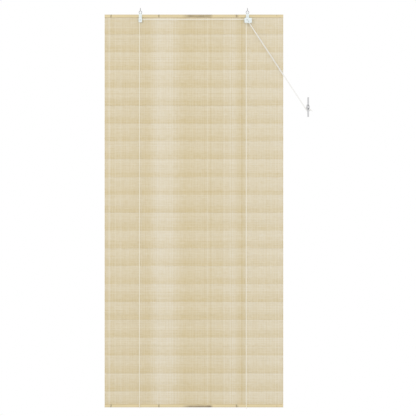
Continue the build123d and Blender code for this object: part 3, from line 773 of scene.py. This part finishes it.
class BLIND_OT_reeds(bpy.types.Operator):
    """Make the reeds of the mat, each a little different from the next"""

    bl_idname = "blind.reeds"
    bl_label = "Make Reeds"

    stations: count("Stations", "Cuts along one reed, where it can bend", 3, 1)

    def execute(self, context):
        mat = context.scene.blind.mat
        width, height = MAT_HIGH.x - MAT_LOW.x, MAT_HIGH.z - MAT_LOW.z
        self.count = round(height / mat.reed_pitch)
        self.pitch = height / self.count
        mesh = repeated(self.one_reed(mat, width), (self.count, DOWN * self.pitch))
        self.vary(mesh, mat)
        reeds = settle("reeds", mesh, "head", reed_finish(mat), "reeds", "reed_mat")
        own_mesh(reeds)
        return {"FINISHED"}

    def one_reed(self, mat, width):
        """The top reed: a six-sided bar, cut across so that it can bend, flatter than it is tall."""
        bm = bmesh.new()
        place = Matrix.Translation((0, 0, MAT_HIGH.z - self.pitch / 2))
        turn = Matrix.Rotation(math.pi / 2, 4, "Y") @ Matrix.Rotation(math.pi / 6, 4, "Z")
        bmesh.ops.create_cone(bm, cap_ends=True, segments=6, radius1=0.5, radius2=0.5, depth=width, matrix=turn)
        long_edges = [e for e in bm.edges if e.calc_length() > width / 2]
        bmesh.ops.subdivide_edges(bm, edges=long_edges, cuts=self.stations)
        tall = (self.pitch - mat.reed_gap) / math.cos(math.pi / 6)
        bmesh.ops.scale(bm, vec=(1, mat.reed_thickness, tall), verts=bm.verts)
        bmesh.ops.transform(bm, matrix=place, verts=bm.verts)
        return bm

    def vary(self, mesh, mat):
        """Gives every reed its own line, size, ends and tone, and leaves an open slit at each band's edge."""
        pick = random.Random(REED_SEED)
        per_reed = len(mesh.vertices) // self.count
        faces = len(mesh.polygons) // self.count
        in_band = round(mat.band / self.pitch)
        pattern = [pick.random() for _ in range(in_band)]
        tone = mesh.attributes.new("tone", "FLOAT", "FACE")
        tones = []
        ends = (MAT_LOW.x, MAT_HIGH.x)
        for i in range(self.count):
            z = MAT_HIGH.z - (i + 0.5) * self.pitch
            below = (MAT_HIGH.z - mat.first_band - z) / mat.band
            beside_slit = abs(below - round(below)) * mat.band < self.pitch and -0.5 < below
            size = pick.uniform(0.93, 1.03) * (0.9 if beside_slit else 1)
            depth = pick.uniform(0.86, 1.08)
            wander = {}
            trims = [pick.uniform(-mat.trim, mat.trim * 0.5) for _ in ends]
            for v in mesh.vertices[i * per_reed:(i + 1) * per_reed]:
                key = round(v.co.x, 3)
                if key not in wander:
                    wander[key] = (pick.gauss(0, mat.reed_wander * 0.5), pick.gauss(0, mat.reed_wander * 0.5))
                v.co.y = v.co.y * depth + wander[key][0]
                v.co.z = z + (v.co.z - z) * size + wander[key][1]
                for end, trim in zip(ends, trims):
                    if abs(v.co.x - end) < 1e-4:
                        v.co.x += math.copysign(trim, end)
            own = 0.55 * pattern[i % in_band] + 0.45 * pick.random()
            tones += [own] * faces
        tone.data.foreach_set("value", tones)


class BLIND_OT_threads(bpy.types.Operator):
    """Make the lines of thread that bind the reeds, on both faces of the mat"""

    bl_idname = "blind.threads"
    bl_label = "Make Threads"

    margin: metres("Edge Margin", "From the mat's edge to its first thread", 0.009)
    height: metres("Thread Height", "How far a thread stands over the reeds", 0.0004)
    stray: metres("Stray", "How far a line lies from its even place", 0.0012)
    sway: metres("Sway", "How far a line sways on its way down", 0.0006)

    def execute(self, context):
        mat = context.scene.blind.mat
        material = thread_finish(mat)
        height = MAT_HIGH.z - MAT_LOW.z - 2 * (RAIL_HIGH.z - RAIL_LOW.z)
        top = RAIL_LOW.z
        crossings = 2 * round(height / (4 * mat.reed_pitch))
        step = height / crossings
        spacing = (MAT_HIGH.x - MAT_LOW.x - 2 * self.margin) / (mat.thread_lines - 1)
        first = Vector((MAT_LOW.x + self.margin, 0, top))
        for face, side in (("front", -1), ("back", 1)):
            bm = self.two_crossings(mat, side, step)
            bmesh.ops.translate(bm, verts=bm.verts, vec=first)
            mesh = repeated(bm, (crossings // 2, DOWN * step * 2), (mat.thread_lines, (spacing, 0, 0)))
            self.vary(mesh, spacing)
            threads = settle(f"threads_{face}", mesh, "head", material, "cord", "reed_mat")
            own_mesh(threads)
        return {"FINISHED"}

    def two_crossings(self, mat, side, step):
        """A thread over two pairs of reeds, stepping aside and back, with a ridge along its middle."""
        bm = bmesh.new()
        surface = side * mat.reed_thickness * 0.46
        for i, lean in enumerate((1, -1)):
            turn = Matrix.Rotation(side * math.pi / 2, 4, "X")
            grid = bmesh.ops.create_grid(bm, x_segments=2, y_segments=1, size=0.5, matrix=turn)["verts"]
            bmesh.ops.scale(bm, vec=(mat.thread_width, 1, step), verts=grid)
            bmesh.ops.translate(bm, vec=(0, surface, -(i + 0.5) * step), verts=grid)
            for v in grid:
                if abs(v.co.x) < 1e-6:
                    v.co.y += side * self.height
                v.co.x += lean * mat.thread_lean * ((-(i + 0.5) * step - v.co.z) / step)
        return bm

    def vary(self, mesh, spacing):
        """Gives each thread line its own tone, and lets it stray a little from plumb."""
        pick = random.Random(THREAD_SEED)
        lines = round((MAT_HIGH.x - MAT_LOW.x) / spacing) + 1
        ways = [(pick.uniform(-1, 1), pick.uniform(2, 5), pick.uniform(0, math.tau)) for _ in range(lines)]
        tones = [pick.uniform(-0.1, 0.9) for _ in range(lines)]
        own = []
        for v in mesh.vertices:
            line = int((v.co.x - MAT_LOW.x) / spacing)
            amount, waves, phase = ways[line]
            v.co.x += self.stray * amount + self.sway * math.sin(waves * v.co.z + phase)
            own.append(tones[line])
        mesh.attributes.new("tone", "FLOAT", "POINT").data.foreach_set("value", own)


class BLIND_OT_slats(bpy.types.Operator):
    """Make the four bamboo slats, with their node rings"""

    bl_idname = "blind.slats"
    bl_label = "Make Slats"

    cuts: count("Cuts", "Cuts along a slat", 40, 4)
    node_cuts: count("Node Cuts", "Cuts on each side of a node's ring", 5, 2)

    def execute(self, context):
        slats = context.scene.blind.slats
        material = slat_finish(slats)
        rings = {
            "head_front_slat": (-0.464, -0.1965, 0.2375),
            "head_back_slat": (-0.38, -0.07, 0.19, 0.44),
            "bottom_front_slat": (-0.4645, -0.196, 0.238),
            "bottom_back_slat": (-0.29, 0.03, 0.33),
        }
        for node, places in rings.items():
            body = "head" if node.startswith("head") else "bottom_batten"
            piece(f"{node}_bamboo", self.slat(node, places, slats), body, material, "slats", node)
        return {"FINISHED"}

    def long_edges(self, bm):
        """The edges that run the length of a slat."""
        return [e for e in bm.edges if abs(e.verts[0].co.x - e.verts[1].co.x) > 0.5]

    def slat(self, node, places, slats):
        """A flat bar with rounded outer edges, cut along its length, swollen at its nodes."""
        low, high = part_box(node)
        side = 1 if low.y + high.y > 0 else -1
        outer = max(abs(low.y), abs(high.y))
        bm = bmesh.new()
        centre = (low + high) / 2
        size = high - low
        bmesh.ops.create_cube(bm, size=1, matrix=Matrix.Translation(centre) @ Matrix.Diagonal((*size, 1)))
        corners = [e for e in self.long_edges(bm) if abs(e.verts[0].co.y) > outer - 0.001]
        bmesh.ops.bevel(
            bm, geom=corners, offset=slats.rounding, segments=4, profile=0.5, affect="EDGES", material=-1,
        )
        across = [
            e for e in bm.edges
            if abs(e.verts[0].co.z - e.verts[1].co.z) > size.z * 0.6 and abs(e.verts[0].co.y) > outer - 0.0001
        ]
        bmesh.ops.subdivide_edges(bm, edges=across, cuts=5)
        bmesh.ops.subdivide_edges(bm, edges=self.long_edges(bm), cuts=self.cuts)
        bmesh.ops.holes_fill(bm, edges=bm.edges, sides=20)
        for place in places:
            for i in range(-self.node_cuts, self.node_cuts + 1):
                bmesh.ops.bisect_plane(
                    bm, geom=bm.verts[:] + bm.edges[:] + bm.faces[:], dist=1e-6,
                    plane_co=(place + 3 * slats.node_width * i / self.node_cuts, 0, 0), plane_no=(1, 0, 0),
                )
        ring = bm.verts.layers.float.new("node_ring")
        outward = bm.verts.layers.float.new("outward")
        up = 1 if centre.z > MAT_LOW.z / 2 else -1
        for v in bm.verts:
            off = (v.co.z - centre.z) / (size.z / 2)
            v[outward] = 0.5 + 0.5 * up * off
            if abs(v.co.y) > outer - 0.003:
                v.co.y -= side * slats.crown * off * off
                for place in places:
                    away = (v.co.x - place - 0.0008 * math.sin(3 * off + place * 40)) / slats.node_width
                    swell = math.exp(-away * away)
                    dip = 0.4 * math.exp(-((away - 1.7) ** 2))
                    v.co.y += side * slats.node_swell * (swell - dip)
                    v[ring] = max(v[ring], 0.75 * math.exp(-away * away * 0.8))
        bmesh.ops.recalc_face_normals(bm, faces=bm.faces)
        return bm


# Hardware


class BLIND_OT_screw_eyes(bpy.types.Operator):
    """Make the two screw eyes, each a bent wire ring under a threaded shank"""

    bl_idname = "blind.screw_eyes"
    bl_label = "Make Screw Eyes"

    wire: metres("Wire Radius", "Radius of the ring's wire", 0.0018)
    neck: metres("Neck Radius", "Radius between ring and thread", 0.0022)
    core: metres("Core Radius", "Radius of the shank under its thread", 0.0018)
    ridge: metres("Thread Ridge", "Size of the screw thread's ridge", 0.0004)
    tip: metres("Tip Length", "Length of the pointed tip", 0.004)

    def execute(self, context):
        hardware = context.scene.blind.hardware
        zinc = metal_finish("zinc plate", hardware.zinc, 0.3)
        for side in SIDES:
            node = f"screw_eye_{side}"
            piece(f"{node}_wire", self.eye(node, hardware.thread_pitch), "head", zinc, "zinc", node)
        return {"FINISHED"}

    def eye(self, node, pitch):
        """The ring, open by a hair beside the shank, and the shank with its screw thread."""
        low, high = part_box(node)
        x = (low.x + high.x) / 2
        ring_radius = (high.x - low.x) / 2 - self.wire
        centre = Vector((x, 0, low.z + ring_radius + self.wire))
        bm = bmesh.new()
        start = centre + Matrix.Rotation(math.radians(14), 3, "Y") @ Vector((0, 0, ring_radius))
        sweep(bm, arc(centre, start, (0, 1, 0), 340, 40), self.wire, sides=14)
        shank_top = high.z - self.tip
        ring_top = centre.z + ring_radius
        sweep(bm, [(x, 0, ring_top - self.wire * 0.6), (x, 0, 0)], self.neck, sides=16)
        sweep(bm, [(x, 0, -self.neck), (x, 0, shank_top)], self.core, sides=16)
        bmesh.ops.create_cone(
            bm, cap_ends=True, segments=16, radius1=self.core, radius2=0.0002, depth=self.tip,
            matrix=Matrix.Translation((x, 0, shank_top + self.tip / 2)),
        )
        self.screw_thread(bm, x, 0.001, shank_top, pitch)
        bmesh.ops.recalc_face_normals(bm, faces=bm.faces)
        return bm

    def screw_thread(self, bm, x, z0, z1, pitch):
        """A pointed ridge that climbs round the shank."""
        steps = int((z1 - z0) / pitch * THREAD_STEPS)
        ridge = bmesh.ops.create_circle(bm, segments=3, radius=self.ridge, cap_ends=True)["verts"]
        flat = Matrix.Translation((x + self.core, 0, z0)) @ Matrix.Rotation(math.pi / 2, 4, "X")
        bmesh.ops.transform(bm, matrix=flat @ Matrix.Rotation(-math.pi / 2, 4, "Z"), verts=ridge)
        faces = {f for v in ridge for f in v.link_faces}
        bmesh.ops.spin(
            bm, geom=[*ridge, *edges_among(ridge), *faces], cent=(x, 0, 0), axis=(0, 0, 1), steps=steps,
            dvec=(0, 0, pitch / THREAD_STEPS), angle=math.tau * steps / THREAD_STEPS, use_duplicate=False,
        )


class BLIND_OT_hardware(bpy.types.Operator):
    """Finish the pulley, the lock, the cleat and their metal parts"""

    bl_idname = "blind.hardware"
    bl_label = "Finish Hardware"

    def execute(self, context):
        hardware = context.scene.blind.hardware
        white = plastic_finish("white moulded plastic", hardware.plastic, 0.26)
        nylon = plastic_finish("nylon", hardware.nylon, 0.39)
        bronzed = metal_finish("bronzed nail", hardware.bronze, 0.35)
        steel = metal_finish("axle steel", hardware.steel, 0.25, grain=(400, 1600, 400))
        nickel = metal_finish("nickel plate", hardware.nickel, 0.25)
        finishes = {
            white: ("pulley_housing", "lock_housing", "strap_rivet_left", "strap_rivet_right"),
            nylon: ("pulley_wheel", "lock_wheel_back", "lock_wheel_front", "lock_cam"),
            cleat_finish(hardware): ("cleat",),
            bronzed: ("head_pins", "bottom_pins"),
            steel: ("pulley_axle", "lock_wheel_axle"),
            nickel: ("lock_cam_pin",),
            screw_finish(hardware): ("cleat_screws",),
        }
        for material, nodes in finishes.items():
            for node in nodes:
                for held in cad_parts[node].material_slots:
                    held.material = material
        return {"FINISHED"}


# Stage


class BLIND_OT_stage(bpy.types.Operator):
    """Set up the camera, the lamps, the white surroundings and the floor"""

    bl_idname = "blind.stage"
    bl_label = "Set Up Stage"

    def execute(self, context):
        stage = context.scene.blind.stage
        self.camera(context, stage)
        self.surroundings(context, stage)
        self.floor(stage)
        self.lamp(stage, "key lamp", stage.key_place, stage.key_power)
        self.lamp(stage, "fill lamp", stage.fill_place, stage.fill_power)
        context.scene.view_settings.view_transform = "Standard"
        return {"FINISHED"}

    def camera(self, context, stage):
        """A level camera in front of the blind."""
        data = bpy.data.cameras.new("camera")
        data.lens = data.sensor_width * stage.distance / stage.view_width
        data.clip_end = 100
        obj = in_scene("camera", data)
        obj.location = (stage.aim_x, MAT_LOW.y - stage.distance, stage.aim_z)
        obj.rotation_euler = (math.pi / 2, 0, 0)
        context.scene.camera = obj

    def surroundings(self, context, stage):
        """An even sky that lights the blind, seen as plain white."""
        world = bpy.data.worlds.new("studio")
        world.use_nodes = True
        tree = world.node_tree
        tree.nodes.clear()
        light, seen = (tree.nodes.new("ShaderNodeBackground") for _ in range(2))
        for white, strength in ((light, stage.sky), (seen, 1)):
            white.inputs["Color"].default_value = (1, 1, 1, 1)
            white.inputs["Strength"].default_value = strength
        path = tree.nodes.new("ShaderNodeLightPath")
        plain = path.outputs["Is Camera Ray"]
        for ray in ("Is Glossy Ray", "Is Transmission Ray"):
            either = tree.nodes.new("ShaderNodeMath")
            either.operation = "MAXIMUM"
            tree.links.new(plain, either.inputs[0])
            tree.links.new(path.outputs[ray], either.inputs[1])
            plain = either.outputs[0]
        choose = tree.nodes.new("ShaderNodeMixShader")
        tree.links.new(plain, choose.inputs["Fac"])
        tree.links.new(light.outputs[0], choose.inputs[1])
        tree.links.new(seen.outputs[0], choose.inputs[2])
        output = tree.nodes.new("ShaderNodeOutputWorld")
        tree.links.new(choose.outputs[0], output.inputs["Surface"])
        context.scene.world = world

    def floor(self, stage):
        """A round pale floor, well below the blind."""
        bm = bmesh.new()
        bmesh.ops.create_circle(
            bm, cap_ends=True, segments=96, radius=stage.floor_radius,
            matrix=Matrix.Translation((0, 0, stage.floor_z)),
        )
        obj = in_scene("floor", mesh_of(bm, "floor"))
        paint = Finish("pale floor", Roughness=0.8, Specular_IOR_Level=0.1)
        paint.colour((*stage.floor_colour, 1))
        obj.data.materials.append(paint.material)

    def lamp(self, stage, name, place, power):
        """A square soft lamp that points at the blind."""
        data = bpy.data.lights.new(name, "AREA")
        data.size = stage.lamp_size
        data.energy = power
        obj = in_scene(name, data)
        obj.location = place
        towards = Vector((0, 0, stage.lamp_aim_z)) - Vector(place)
        obj.rotation_euler = towards.to_track_quat("-Z", "Y").to_euler()


class BLIND_PT_panel(bpy.types.Panel):
    """The blind's settings and the steps that build it"""

    bl_idname = "BLIND_PT_panel"
    bl_label = "Bamboo Roll Up Blind"
    bl_space_type = "VIEW_3D"
    bl_region_type = "UI"
    bl_category = "Blind"

    def draw(self, context):
        layout = self.layout
        for operator in OPERATORS:
            layout.operator(operator.bl_idname)
        settings = context.scene.blind
        for group in (settings.mat, settings.slats, settings.cords, settings.hardware, settings.stage):
            box = layout.box()
            for name in group.__annotations__:
                box.prop(group, name)


OPERATORS = (
    BLIND_OT_stage,
    BLIND_OT_lift_cords,
    BLIND_OT_held_cords,
    BLIND_OT_pull_cords,
    BLIND_OT_back_knots,
    BLIND_OT_reeds,
    BLIND_OT_threads,
    BLIND_OT_slats,
    BLIND_OT_screw_eyes,
    BLIND_OT_hardware,
)
CLASSES = (
    MatSettings,
    SlatSettings,
    CordSettings,
    HardwareSettings,
    StageSettings,
    BlindSettings,
    *OPERATORS,
    BLIND_PT_panel,
)


def register():
    for cls in CLASSES:
        bpy.utils.register_class(cls)
    bpy.types.Scene.blind = PointerProperty(type=BlindSettings)


def unregister():
    del bpy.types.Scene.blind
    for cls in reversed(CLASSES):
        bpy.utils.unregister_class(cls)


def main():
    register()
    bpy.ops.blind.stage()
    bpy.ops.blind.lift_cords()
    bpy.ops.blind.held_cords()
    bpy.ops.blind.pull_cords()
    bpy.ops.blind.back_knots()
    bpy.ops.blind.reeds()
    bpy.ops.blind.threads()
    bpy.ops.blind.slats()
    bpy.ops.blind.screw_eyes()
    bpy.ops.blind.hardware()


if __name__ == "__main__":
    main()
